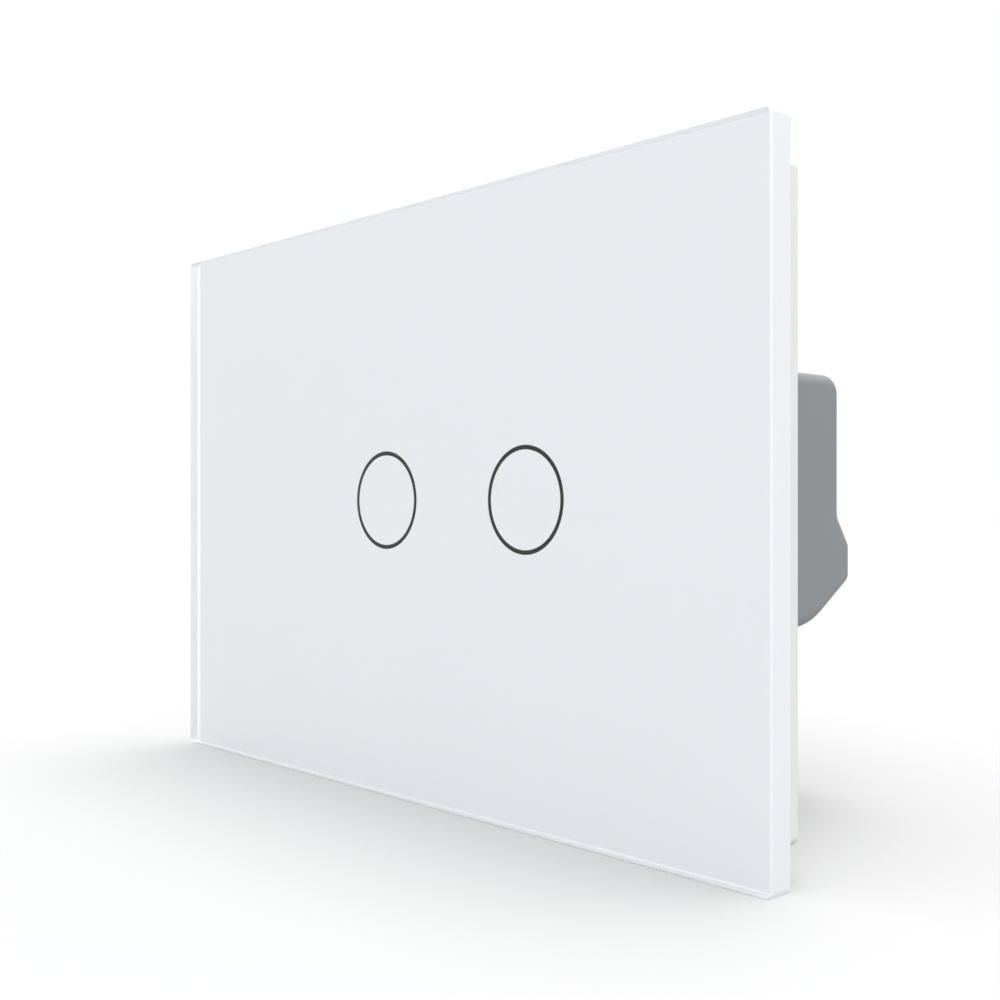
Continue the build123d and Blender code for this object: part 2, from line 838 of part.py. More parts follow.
def relay_case():
    outer = slab(relay_width, relay_length, relay_top_y, relay_floor_y)
    outer = fillet(outer.edges().group_by(Axis.Y)[0] + outer.edges().filter_by(Axis.Y), body_edge_fillet)
    inner_width = relay_width - 2 * relay_case_wall
    inner_length = relay_length - 2 * relay_case_wall
    return outer - slab(inner_width, inner_length, relay_top_y + relay_case_wall, relay_floor_y + overrun)


def relay_yoke():
    """The L-shaped yoke with its core and pole face. Its rounded upright edge is the armature's pivot."""
    half = yoke_width / 2
    leg_z0 = hinge_z - yoke_thickness / 2
    leg_z1 = hinge_z + yoke_thickness / 2
    yoke = block((-half, relay_floor_y - yoke_thickness, armature_end_z), (half, relay_floor_y, leg_z1))
    yoke += block((-half, hinge_y, leg_z0), (half, relay_floor_y, leg_z1))
    yoke += rod_x(yoke_thickness / 2, -half, half, hinge_y, hinge_z)
    yoke += rod_y(core_radius, pole_top_y + pole_height, relay_floor_y, 0, coil_z)
    yoke += rod_y(pole_radius, pole_top_y, pole_top_y + pole_height, 0, coil_z)
    return yoke


def relay_bobbin():
    y0 = pole_top_y + pole_height + winding_clearance
    y1 = relay_floor_y - yoke_thickness - winding_clearance
    bobbin = rod_y(core_radius + bobbin_wall, y0, y1, 0, coil_z)
    bobbin += rod_y(coil_radius, y0, y0 + bobbin_flange, 0, coil_z)
    bobbin += rod_y(coil_radius, y1 - bobbin_flange, y1, 0, coil_z)
    return bobbin - rod_y(core_radius + winding_clearance, y0 - overrun, y1 + overrun, 0, coil_z)


def relay_winding():
    y0 = pole_top_y + pole_height + 2 * winding_clearance + bobbin_flange
    y1 = relay_floor_y - yoke_thickness - 2 * winding_clearance - bobbin_flange
    winding = rod_y(coil_radius - bobbin_wall, y0, y1, 0, coil_z)
    inner = core_radius + bobbin_wall + winding_clearance
    return winding - rod_y(inner, y0 - overrun, y1 + overrun, 0, coil_z)


def relay_armature():
    """A flat plate over the pole that also reaches out past the hinge to carry the leaf."""
    half = yoke_width / 2
    end_z = leaf_z + leaf_thickness / 2
    return block((-half, armature_front_y, armature_end_z), (half, armature_back_y, end_z))


def relay_leaf():
    """The moving contact: a leaf back from the armature's end with a contact button."""
    half = leaf_width / 2
    z0 = leaf_z - leaf_thickness / 2
    z1 = leaf_z + leaf_thickness / 2
    leaf = block((-half, armature_back_y, z0), (half, contact_y + contact_radius, z1))
    return leaf + rod_z(contact_radius, z1, z1 + contact_height, 0, contact_y)


def relay_fixed_contact():
    """The fixed contact: a blade up from the power board with a button that faces the leaf."""
    half = blade_width / 2
    z0 = blade_z - blade_thickness / 2
    z1 = blade_z + blade_thickness / 2
    blade = block((-half, contact_y - contact_radius, z0), (half, power_board_back_y + lead_tail, z1))
    return blade + rod_z(contact_radius, z0 - contact_height, z0, 0, contact_y)


def main():
    os.makedirs("parts", exist_ok=True)

    save("glass_panel", glass_panel())
    save("back_print", back_print())
    save("touch_rings", *ring_band(print_front_y, print_back_y))
    save("panel_adhesive", panel_adhesive())
    save("panel_carrier", panel_carrier())
    save("base_frame", base_frame())

    save("module_cover", module_cover())
    save("light_guides", *light_guides())
    save("indicator_leds", *indicator_leds())
    save("touch_pads", *touch_pads())
    save("touch_board", touch_board())
    save("touch_chip", touch_chip())
    save("board_header", board_header())
    save("header_pins", *header_pins())
    save("board_socket", board_socket())

    save("rear_housing", rear_housing())
    save("housing_screws", *[housing_screw(x, z) for x, z in housing_screw_places()])
    save("power_board", power_board())
    save("terminal_blocks", *[terminal_block(x) for x in terminal_places])
    save("terminal_bars", *[terminal_bar(x) for x in terminal_places])
    for number, x in enumerate(terminal_places, 1):
        save(f"terminal_clamp_{number}", terminal_clamp(x))
        save(f"terminal_screw_{number}", terminal_screw(x))

    save("fuse", fuse())
    save("film_capacitor", film_capacitor())
    save("smoothing_capacitor", smoothing_capacitor())
    save("varistor", varistor())
    save("rectifier", rectifier())
    save("converter_chip", converter_chip())
    save("transformer_core", transformer_core())
    save("transformer_winding", transformer_winding())
    save("transformer_base", transformer_base())

    relay_pieces = {
        "base": relay_base,
        "case": relay_case,
        "yoke": relay_yoke,
        "bobbin": relay_bobbin,
        "winding": relay_winding,
        "armature": relay_armature,
        "leaf": relay_leaf,
        "fixed_contact": relay_fixed_contact,
    }
    for number, x in enumerate(relay_places, 1):
        for name, piece in relay_pieces.items():
            save(f"relay_{number}_{name}", raised(Pos(x, 0, relay_z) * piece()))


main()
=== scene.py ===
import math

import bmesh
import bpy
from mathutils import Matrix, Vector


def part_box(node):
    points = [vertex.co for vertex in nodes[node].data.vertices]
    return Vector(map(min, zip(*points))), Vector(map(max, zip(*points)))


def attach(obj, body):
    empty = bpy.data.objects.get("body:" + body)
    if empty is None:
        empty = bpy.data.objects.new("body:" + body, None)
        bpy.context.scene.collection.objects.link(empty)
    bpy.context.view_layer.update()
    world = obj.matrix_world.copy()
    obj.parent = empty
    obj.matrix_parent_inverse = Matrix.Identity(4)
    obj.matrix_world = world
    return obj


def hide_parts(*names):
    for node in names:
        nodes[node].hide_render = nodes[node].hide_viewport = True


# A two-key touch light switch with a glass panel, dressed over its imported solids. Metres, in the part's own
# frame: +X right and +Z up as seen from the room, +Y into the wall, the wall's surface at Y = 0.
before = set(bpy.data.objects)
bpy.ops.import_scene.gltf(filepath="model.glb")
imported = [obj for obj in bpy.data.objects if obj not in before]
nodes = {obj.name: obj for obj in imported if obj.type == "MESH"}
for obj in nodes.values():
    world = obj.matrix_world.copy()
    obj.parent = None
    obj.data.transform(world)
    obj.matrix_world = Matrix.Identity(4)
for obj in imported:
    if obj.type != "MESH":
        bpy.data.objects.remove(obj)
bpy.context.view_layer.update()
scene = bpy.context.scene
mm = 0.001


# Camera
# The photograph looks level at the switch from its right front, from about 175 mm away. The panel stands on
# its bottom edge, and its middle is at the height of the lens.
lens_right = 138.1 * mm
lens_before_glass = 107.8 * mm
view_turn = math.radians(48.015)
front_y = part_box("glass_panel")[0].y
view_data = bpy.data.cameras.new("view")
view_data.sensor_width = 36
view_data.lens = 47.1
view_data.shift_x = 0.0005
view_data.shift_y = 0.0027
view_data.clip_start = 0.01
view_camera = bpy.data.objects.new("view", view_data)
view_camera.location = (lens_right, front_y - lens_before_glass, 0)
view_camera.rotation_euler = (math.pi / 2, 0, view_turn)
scene.collection.objects.link(view_camera)
scene.camera = view_camera


# Base frame
# An injection-moulded frame in white polycarbonate that two screws hold to the wall box. Its faces come from
# a finely spark-eroded mould, which leaves them satin, with a faint unevenness from the flow of the plastic.

def linear(code):
    """An sRGB hex colour as linear red, green, blue and alpha."""
    channels = [int(code[i:i + 2], 16) / 255 for i in (1, 3, 5)]
    return [c / 12.92 if c <= 0.04045 else ((c + 0.055) / 1.055) ** 2.4 for c in channels] + [1.0]


def add_node(tree, kind, inputs=None, **settings):
    """One shader or geometry node, with its settings, and with each input a value or a link."""
    made = tree.nodes.new(kind)
    for name, value in settings.items():
        setattr(made, name, value)
    for name, value in (inputs or {}).items():
        if isinstance(value, bpy.types.NodeSocket):
            tree.links.new(value, made.inputs[name])
        else:
            made.inputs[name].default_value = value
    return made


def per_mm(size):
    """The scale of a noise or cell pattern whose features measure that many millimetres."""
    return 1 / (size * mm)


def blank_material(name):
    """A material with an empty node tree."""
    made = bpy.data.materials.new(name)
    made.use_nodes = True
    made.node_tree.nodes.clear()
    return made


def finish(name, colour, darker, mottle, grain, relief, rough, **gloss):
    """A surface with a colour that clouds into a darker one, a fine relief and an uneven roughness.

    The clouds and the grain are given by their size and the relief by its depth, all in millimetres.
    """
    made = blank_material(name)
    tree = made.node_tree
    wear_share = 0.15
    place = add_node(tree, "ShaderNodeTexCoord").outputs["Object"]
    cloud = add_node(tree, "ShaderNodeTexNoise", {"Vector": place, "Scale": per_mm(mottle), "Detail": 3.0})
    tint = add_node(tree, "ShaderNodeMix",
                    {0: cloud.outputs["Fac"], 6: linear(darker), 7: linear(colour)}, data_type="RGBA")
    bumps = add_node(tree, "ShaderNodeTexNoise", {"Vector": place, "Scale": per_mm(grain), "Detail": 2.0})
    wear = add_node(tree, "ShaderNodeMapRange", {
        "Value": cloud.outputs["Fac"],
        "To Min": rough * (1 - wear_share),
        "To Max": rough * (1 + wear_share)})
    normal = add_node(tree, "ShaderNodeBump",
                      {"Height": bumps.outputs["Fac"], "Strength": 0.35, "Distance": relief * mm})
    shader = add_node(tree, "ShaderNodeBsdfPrincipled", {
        "Base Color": tint.outputs[2],
        "Roughness": wear.outputs["Result"],
        "Normal": normal.outputs["Normal"],
        **gloss})
    add_node(tree, "ShaderNodeOutputMaterial", {"Surface": shader.outputs["BSDF"]})
    return made


def dress(material, *names):
    """Give CAD nodes a material."""
    for name in names:
        nodes[name].data.materials.clear()
        nodes[name].data.materials.append(material)


# Satin white, near neutral, with grain just fine enough to show.
white_polycarbonate = finish("white_polycarbonate", "#EBECEC", "#E5E6E7", 9, 0.3, 0.02, 0.42)
dress(white_polycarbonate, "base_frame", "module_cover", "panel_carrier")


# Rear housing and its screws
# A deep box in grey flame-retardant polycarbonate that goes into the wall box. Four zinc-plated screws
# through the base frame hold it. The mould's texture is a little coarser than the frame's.

# Mid grey with a cool cast; slightly rough, so the rounded top catches a soft light.
grey_polycarbonate = finish("grey_polycarbonate", "#8C8F93", "#85888C", 12, 0.4, 0.03, 0.5)
dress(grey_polycarbonate, "rear_housing")

# Bright zinc over steel, cloudy from the plating bath.
zinc = ("#C9CBCD", "#B4B6BA", 1.6, 0.12, 0.006, 0.3)
zinc_plated_steel = finish("zinc_plated_steel", *zinc, Metallic=1.0)


def ridged(made, axis, pitch, height, start):
    """A finish with rolled or wound ridges across an axis, from a level on."""
    tree = made.node_tree
    shader = tree.nodes["Principled BSDF"]
    place = tree.nodes["Texture Coordinate"].outputs["Object"]
    # At scale 1 a wave texture turns its phase by 20 radians over a unit of length.
    wave_scale = math.tau / 20 / (pitch * mm)
    waves = add_node(tree, "ShaderNodeTexWave", {"Vector": place, "Scale": wave_scale},
                     wave_type="BANDS", bands_direction=axis)
    level = add_node(tree, "ShaderNodeSeparateXYZ", {0: place}).outputs[axis]
    past = add_node(tree, "ShaderNodeMath", {0: level, 1: start}, operation="GREATER_THAN")
    ridges = add_node(tree, "ShaderNodeMath", {0: waves.outputs["Fac"], 1: past.outputs[0]},
                      operation="MULTIPLY")
    grain = shader.inputs["Normal"].links[0].from_socket
    normal = add_node(tree, "ShaderNodeBump",
                      {"Height": ridges.outputs[0], "Distance": height * mm, "Normal": grain})
    tree.links.new(normal.outputs["Normal"], shader.inputs["Normal"])
    return made


# The thread is rolled behind the head, at 0.8 mm a turn.
screw_head = 1.3 * mm
thread_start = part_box("housing_screws")[0].y + screw_head
rolled_thread = ridged(finish("rolled_thread", *zinc, Metallic=1.0), "Y", 0.8, 0.25, thread_start)
dress(rolled_thread, "housing_screws")


# Power board
# A glass-epoxy board with green solder mask that stands across the housing. Its copper tracks show as
# slightly raised, lighter green lanes under the mask.

def board_finish(name, mask, lane, lane_width):
    """Solder mask with straight tracks under it, which run round the middles of square fields."""
    made = blank_material(name)
    tree = made.node_tree
    field = 9 * lane_width
    lane_phase = 16.0
    lane_foot, lane_top = 0.45, 0.6
    place = add_node(tree, "ShaderNodeTexCoord").outputs["Object"]
    flat = add_node(tree, "ShaderNodeMapping", {"Vector": place, "Scale": (1, 0, 1)})
    cells = add_node(tree, "ShaderNodeTexVoronoi",
                     {"Vector": flat.outputs["Vector"], "Scale": per_mm(field), "Randomness": 0.9},
                     feature="F1", distance="CHEBYCHEV")
    waves = add_node(tree, "ShaderNodeMath", {0: cells.outputs["Distance"], 1: lane_phase},
                     operation="MULTIPLY")
    lanes = add_node(tree, "ShaderNodeMath", {0: waves.outputs[0]}, operation="SINE")
    track = add_node(tree, "ShaderNodeMapRange",
                     {"Value": lanes.outputs[0], "From Min": lane_foot, "From Max": lane_top})
    tint = add_node(tree, "ShaderNodeMix",
                    {0: track.outputs["Result"], 6: linear(mask), 7: linear(lane)}, data_type="RGBA")
    normal = add_node(tree, "ShaderNodeBump",
                      {"Height": track.outputs["Result"], "Strength": 0.6, "Distance": 0.035 * mm})
    shader = add_node(tree, "ShaderNodeBsdfPrincipled", {
        "Base Color": tint.outputs[2], "Roughness": 0.32, "Normal": normal.outputs["Normal"]})
    add_node(tree, "ShaderNodeOutputMaterial", {"Surface": shader.outputs["BSDF"]})
    return made


# A half-glossy dark green lacquer, a little lighter where copper lies under it.
green_solder_mask = board_finish("green_solder_mask", "#1B5636", "#256B43", 0.8)
dress(green_solder_mask, "power_board", "touch_board")


# Solder on the power board
# Each lead's tail comes through the board and stands in a small hollow cone of bright solder. The flat pins
# of the terminals' bars are soldered in the same way on the board's room side.

# Tin solder sets bright, with faint dull clouds.
tin = "#CFD1D4"
tinned_solder = finish("tinned_solder", tin, "#B9BBBF", 0.6, 0.2, 0.008, 0.22, Metallic=1.0)


def named_tree(name, sockets):
    """An empty geometry tree with named inputs, its first node and its last."""
    tree = bpy.data.node_groups.new(name, "GeometryNodeTree")
    tree.is_modifier = True
    for label, kind in sockets.items():
        tree.interface.new_socket(label, in_out="INPUT", socket_type="NodeSocket" + kind)
    tree.interface.new_socket("Geometry", in_out="OUTPUT", socket_type="NodeSocketGeometry")
    return tree, tree.nodes.new("NodeGroupInput"), tree.nodes.new("NodeGroupOutput")


def end_tree(tree, source, last, finished):
    """Closes a tree: its copies become real and take the material."""
    real = add_node(tree, "GeometryNodeRealizeInstances", {0: finished})
    coated = add_node(tree, "GeometryNodeSetMaterial",
                      {"Geometry": real.outputs[0], "Material": source.outputs["Material"]})
    tree.links.new(coated.outputs[0], last.inputs[0])


def grown(name, mesh, tree, values, turn):
    """A plain mesh grown from a small one by a tree with its values, then turned and placed in the part."""
    made = bpy.data.objects.new(name, mesh)
    scene.collection.objects.link(made)
    growth = made.modifiers.new("growth", "NODES")
    growth.node_group = tree
    for socket in tree.interface.items_tree:
        if socket.in_out == "INPUT" and socket.name in values:
            growth[socket.identifier] = values[socket.name]
    plain = bpy.data.meshes.new_from_object(made.evaluated_get(bpy.context.evaluated_depsgraph_get()))
    made.modifiers.clear()
    plain.transform(turn)
    made.data = plain
    return made


# The tree stands a hollow cone on every point it gets. Half a sine wave draws each cone in at mid height.
cone_tree, source, last = named_tree("solder_cones", {
    "Geometry": "Geometry", "Foot": "Float", "Neck": "Float", "Height": "Float", "Hollow": "Float",
    "Turn": "Rotation", "Material": "Material"})
cone = add_node(cone_tree, "GeometryNodeMeshCone", {
    "Vertices": 16,
    "Side Segments": 5,
    "Radius Top": source.outputs["Neck"],
    "Radius Bottom": source.outputs["Foot"],
    "Depth": source.outputs["Height"]})
place = add_node(cone_tree, "GeometryNodeInputPosition").outputs[0]
rise = add_node(cone_tree, "ShaderNodeSeparateXYZ", {0: place})
rise = add_node(cone_tree, "ShaderNodeMapRange",
                {"Value": rise.outputs["Z"], "From Max": source.outputs["Height"], "To Max": math.pi})
bow = add_node(cone_tree, "ShaderNodeMath", {0: rise.outputs["Result"]}, operation="SINE")
bow = add_node(cone_tree, "ShaderNodeMath", {0: bow.outputs[0], 1: source.outputs["Hollow"]},
               operation="MULTIPLY")
bow = add_node(cone_tree, "ShaderNodeMath", {0: 1.0, 1: bow.outputs[0]}, operation="SUBTRACT")
bow = add_node(cone_tree, "ShaderNodeCombineXYZ", {"X": bow.outputs[0], "Y": bow.outputs[0], "Z": 1.0})
drawn = add_node(cone_tree, "ShaderNodeVectorMath", {0: place, 1: bow.outputs[0]}, operation="MULTIPLY")
cone = add_node(cone_tree, "GeometryNodeSetPosition",
                {"Geometry": cone.outputs["Mesh"], "Position": drawn.outputs[0]})
cone = add_node(cone_tree, "GeometryNodeSetShadeSmooth", {"Geometry": cone.outputs[0]})
cones = add_node(cone_tree, "GeometryNodeInstanceOnPoints", {
    "Points": source.outputs["Geometry"], "Instance": cone.outputs[0], "Rotation": source.outputs["Turn"]})
end_tree(cone_tree, source, last, cones.outputs[0])


def tails(name, level, side):
    """The middles of a node's leads where they pass a level across the board."""
    lead_span = 1.2 * mm
    leads = []
    for vertex in nodes[name].data.vertices:
        if (vertex.co.y - level) * side <= 0:
            continue
        point = vertex.co.xz
        near = next((lead for lead in leads if (lead[0] - point).length < lead_span), None)
        if near:
            near.append(point)
        else:
            leads.append([point])
    middles = []
    for lead in leads:
        low = Vector((min(point.x for point in lead), min(point.y for point in lead)))
        high = Vector((max(point.x for point in lead), max(point.y for point in lead)))
        middles.append((low + high) / 2)
    return middles


def solder(name, names, level, side, foot, neck):
    """The joints on one face of the board, with the radii of their foot and neck in millimetres."""
    lead_end = 0.3 * mm
    points = [(m.x, level, m.y) for n in names for m in tails(n, level + side * lead_end, side)]
    mesh = bpy.data.meshes.new(name)
    mesh.from_pydata(points, [], [])
    values = {"Foot": foot * mm, "Neck": neck * mm, "Height": 0.7 * mm, "Hollow": 0.25,
              "Turn": (-side * math.pi / 2, 0, 0), "Material": tinned_solder}
    made = grown(name, mesh, cone_tree, values, Matrix())
    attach(made, "base")


board_low, board_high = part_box("power_board")
round_leads = ["fuse", "varistor", "film_capacitor", "smoothing_capacitor", "transformer_base"]
solder("lead_joints", round_leads, board_high.y, 1, 0.95, 0.36)
solder("bar_joints", ["terminal_bars"], board_low.y, -1, 1.15, 0.7)


# Parts on the power board
# A radial fuse, a potted film capacitor, a sleeved electrolytic, a dipped varistor, a moulded rectifier and
# converter chip, and a small transformer of pressed ferrite with a taped winding on a moulded foot.

def leaded(made, start):
    """A body's finish with tinned leads, which show from one depth on."""
    tree = made.node_tree
    shader = tree.nodes["Principled BSDF"]
    place = tree.nodes["Texture Coordinate"].outputs["Object"]
    depth = add_node(tree, "ShaderNodeSeparateXYZ", {0: place})
    lead = add_node(tree, "ShaderNodeMath", {0: depth.outputs["Y"], 1: start}, operation="GREATER_THAN")
    body = shader.inputs["Base Color"].links[0].from_socket
    tint = add_node(tree, "ShaderNodeMix", {0: lead.outputs[0], 6: body, 7: linear(tin)}, data_type="RGBA")
    tree.links.new(tint.outputs[2], shader.inputs["Base Color"])
    tree.links.new(lead.outputs[0], shader.inputs["Metallic"])
    return made


# The varistor's leads also show in front of the board, where the disc stands off it.
standoff = 0.9 * mm
# Moulded epoxy is near black and satin, and the fuse's phenolic cup dark brown. The capacitors have a satin
# ochre box and a shiny black sleeve, and the varistor's dipped coat is a wavy, glossy blue. Ferrite is a dull
# dark grey with a gritty grain, and the tape round the winding a glossy amber.
black_epoxy = leaded(finish("black_epoxy", "#2A2A2C", "#212123", 2.5, 0.12, 0.008, 0.45), board_low.y)
brown_phenolic = leaded(finish("brown_phenolic", "#4A3024", "#3C261C", 2, 0.2, 0.01, 0.35), board_low.y)
yellow_polyester_box = finish("yellow_polyester_box", "#D9A62A", "#CB9822", 4, 0.2, 0.01, 0.4)
shrink_sleeve = finish("shrink_sleeve", "#20242C", "#181B22", 3, 0.5, 0.01, 0.28)
dipped_blue_epoxy = finish("dipped_blue_epoxy", "#2F66B0", "#275698", 2.5, 0.8, 0.05, 0.3)
pressed_ferrite = finish("pressed_ferrite", "#3B3B3D", "#2E2E30", 0.8, 0.15, 0.02, 0.6)
polyester_tape = finish("polyester_tape", "#E0B430", "#D0A426", 3, 1.2, 0.03, 0.25)
dress(black_epoxy, "rectifier", "converter_chip", "touch_chip", "transformer_base")
dress(brown_phenolic, "fuse")
dress(leaded(yellow_polyester_box, board_low.y), "film_capacitor")
dress(leaded(shrink_sleeve, board_low.y), "smoothing_capacitor")
dress(leaded(dipped_blue_epoxy, board_low.y - standoff), "varistor")
dress(pressed_ferrite, "transformer_core")
dress(polyester_tape, "transformer_winding")

# Tinned legs stand out of both long sides of each chip and lie flat on the board. The tree sets one leg along
# the two sides.
leg_tree, source, last = named_tree("chip_legs", {
    "Geometry": "Geometry", "Count": "Int", "Pitch": "Float", "Width": "Float", "Material": "Material"})
spaces = add_node(leg_tree, "ShaderNodeMath", {0: source.outputs["Count"], 1: 1.0}, operation="SUBTRACT")
span = add_node(leg_tree, "ShaderNodeMath", {0: spaces.outputs[0], 1: source.outputs["Pitch"]},
                operation="MULTIPLY")
first = add_node(leg_tree, "ShaderNodeMath", {0: span.outputs[0], 1: -0.5}, operation="MULTIPLY")
side = add_node(leg_tree, "ShaderNodeMath", {0: source.outputs["Width"], 1: 0.5}, operation="MULTIPLY")
start = add_node(leg_tree, "ShaderNodeCombineXYZ", {"X": first.outputs[0], "Y": side.outputs[0]})
step = add_node(leg_tree, "ShaderNodeCombineXYZ", {"X": source.outputs["Pitch"]})
row = add_node(leg_tree, "GeometryNodeMeshLine", {
    "Count": source.outputs["Count"], "Start Location": start.outputs[0], "Offset": step.outputs[0]})
legs = add_node(leg_tree, "GeometryNodeInstanceOnPoints",
                {"Points": row.outputs[0], "Instance": source.outputs["Geometry"]})
other = add_node(leg_tree, "GeometryNodeTransform",
                 {"Geometry": legs.outputs[0], "Rotation": (0, 0, math.pi)})
both = add_node(leg_tree, "GeometryNodeJoinGeometry", {0: legs.outputs[0]})
leg_tree.links.new(other.outputs[0], both.inputs[0])
end_tree(leg_tree, source, last, both.outputs[0])


def chip_legs(node, count, pitch, reach, width, along, up):
    """The legs of one chip, from the side that it lies along and the side that faces away from its board."""
    shoulder, thick = 0.75, 0.16
    buried, board_gap = 0.1, 0.01
    knee_share, foot_share = 0.35, 0.55
    knee, foot = knee_share * reach, foot_share * reach
    outline = [
        (-buried, shoulder), (knee, shoulder), (foot, thick), (reach, thick),
        (reach, board_gap), (foot - thick, board_gap), (knee - thick, shoulder - thick),
        (-buried, shoulder - thick)]
    shape = bmesh.new()
    face = shape.faces.new([shape.verts.new((-width / 2 * mm, y * mm, z * mm)) for y, z in outline])
    swept = bmesh.ops.extrude_face_region(shape, geom=[face])["geom"]
    far_side = [v for v in swept if isinstance(v, bmesh.types.BMVert)]
    bmesh.ops.translate(shape, verts=far_side, vec=(width * mm, 0, 0))
    bmesh.ops.recalc_face_normals(shape, faces=shape.faces)
    mesh = bpy.data.meshes.new(node + "_legs")
    shape.to_mesh(mesh)
    shape.free()
    low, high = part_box(node)
    middle = (low + high) / 2
    middle.y = low.y if up > 0 else high.y
    upward = Vector((0, up, 0))
    turn = Matrix((along, upward.cross(along), upward)).transposed().to_4x4()
    across = abs(upward.cross(along).dot(high - low))
    values = {"Count": count, "Pitch": pitch * mm, "Width": across, "Material": tinned_solder}
    made = grown(node + "_legs", mesh, leg_tree, values, Matrix.Translation(middle) @ turn)
    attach(made, "base")


chip_legs("touch_chip", 8, pitch=1.27, reach=1.0, width=0.42, along=Vector((1, 0, 0)), up=1)
chip_legs("converter_chip", 4, pitch=1.27, reach=1.0, width=0.42, along=Vector((0, 0, 1)), up=-1)
chip_legs("rectifier", 2, pitch=3.8, reach=0.5, width=1.0, along=Vector((1, 0, 0)), up=-1)


# Terminals
# Five one-pole blocks in dark grey polyamide close the housing's lower back edge. In each, a zinc-plated cage
# rises on a slotted screw and grips the wire against a brass bar.

# Moulded polyamide is a soft satin grey, and rolled brass bright yellow with faint clouds.
dark_polyamide = finish("dark_polyamide", "#63666B", "#5A5D62", 6, 0.35, 0.025, 0.5)
rolled_brass = finish("rolled_brass", "#D8B56A", "#C8A258", 2.2, 0.1, 0.004, 0.28, Metallic=1.0)
dress(dark_polyamide, "terminal_blocks")
dress(rolled_brass, "terminal_bars", "header_pins")
# The clamp screws' thread starts above the slotted head, at 0.5 mm a turn.
clamp_head = 1.4 * mm
thread_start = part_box("terminal_screw_1")[0].z + clamp_head
fine_thread = ridged(finish("fine_thread", *zinc, Metallic=1.0), "Z", 0.5, 0.18, thread_start)
for number in range(1, 6):
    dress(zinc_plated_steel, f"terminal_clamp_{number}")
    dress(fine_thread, f"terminal_screw_{number}")


# Relays
# Two sealed relays stand on the board. Each has a blue moulded case on a black base, a soft-iron yoke and
# armature, a copper winding on a black bobbin, and a brass leaf and blade that carry the contacts.

# The case is a deep satin blue, the polyamide near black, and the annealed iron a dull silver grey.
blue_polyester_case = finish("blue_polyester_case", "#2B4A86", "#243F75", 5, 0.25, 0.015, 0.38)
black_polyamide = finish("black_polyamide", "#2B2B2D", "#232325", 3, 0.25, 0.015, 0.48)
soft_iron = finish("soft_iron", "#9C9C9A", "#8A8A88", 1.5, 0.1, 0.006, 0.38, Metallic=1.0)
# The wire is too fine to show, so its turns are drawn at 0.2 mm.
copper = finish("enamelled_copper", "#B4683A", "#9A5630", 1.2, 0.12, 0.03, 0.3, Metallic=1.0)
enamelled_copper = ridged(copper, "Y", 0.2, 0.06, 0)
for number in (1, 2):
    relay = f"relay_{number}_"
    dress(blue_polyester_case, relay + "case")
    dress(black_polyamide, relay + "base", relay + "bobbin")
    dress(soft_iron, relay + "yoke", relay + "armature")
    dress(enamelled_copper, relay + "winding")
    dress(rolled_brass, relay + "leaf", relay + "fixed_contact")
dress(black_polyamide, "board_header", "board_socket")


# Touch module
# The touch board carries two bare copper pads, two small light-emitting diodes in pale resin and its chip.
# Two clear acrylic guides in the cover bring their light and the finger's field up to the glass.

# Bare copper is pink and even, the diodes' resin a pale glossy cream, and moulded acrylic nearly clear.
bare_copper = finish("bare_copper", "#C98B62", "#B87A54", 2, 0.15, 0.004, 0.35, Metallic=1.0)
led_resin = finish("led_resin", "#F1E9C8", "#EADFB4", 1, 0.2, 0.005, 0.25)
dress(bare_copper, "touch_pads")
dress(led_resin, "indicator_leds")
clear_acrylic = finish("clear_acrylic", "#F4F7F9", "#EDF1F4", 5, 0.6, 0.004, 0.12,
                       **{"Transmission Weight": 0.85, "IOR": 1.49})
dress(clear_acrylic, "light_guides")


# Panel: foam, print and rings
# A frame of white closed-cell foam tape bonds the glass to its carrier. The print on the glass's back is a
# fired white enamel with two thin ring-shaped windows that are filled with a dark tint.

# The foam is dull, and its fine cells show as a grain.
foam_tape = finish("foam_tape", "#E2E3E4", "#D6D7D9", 0.9, 0.25, 0.06, 0.85)
dress(foam_tape, "panel_adhesive")

# The enamel is fused to the glass with no air between them, so the visible print reaches this far into it. It
# also runs down to this much above the glass's bottom edge, where nothing dark shows behind it.
fused_depth = 0.02 * mm
bottom_margin = 0.02 * mm


def fused(node, name, material):
    """A copy of a printed node whose front is sunk into the glass."""
    mesh = nodes[node].data.copy()
    mesh.name = name
    low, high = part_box(node)
    glass_low, glass_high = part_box("glass_panel")
    bottom_zone = 1 * mm
    for vertex in mesh.vertices:
        if vertex.co.y < (low.y + high.y) / 2:
            vertex.co.y = glass_high.y - fused_depth
        if vertex.co.z < glass_low.z + bottom_zone:
            vertex.co.z = glass_low.z + bottom_margin
    mesh.materials.clear()
    mesh.materials.append(material)
    made = bpy.data.objects.new(name, mesh)
    scene.collection.objects.link(made)
    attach(made, "panel")
    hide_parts(node)
    return made


# A cool white that is very slightly clouded where the enamel is thinner.
white_enamel = finish("white_enamel", "#F4F6FA", "#F2F4F8", 30, 0.8, 0.004, 0.5)
# The dark tint lies against the glass, so it has no gloss of its own.
tinted_enamel = finish("tinted_enamel", "#08080A", "#050506", 4, 0.5, 0.004, 0.4,
                       **{"Specular IOR Level": 0.0})
fused("back_print", "enamel_print", white_enamel)
fused("touch_rings", "enamel_rings", tinted_enamel)


# Panel: glass
# Low-iron float glass, 3.4 mm thick, cut and fine-ground on its edges, with a fine chamfer all round. The
# four edges and their chamfers are milky and white from the grinding, and only the two faces are clear.

low_iron_glass = blank_material("low_iron_glass")
tree = low_iron_glass.node_tree
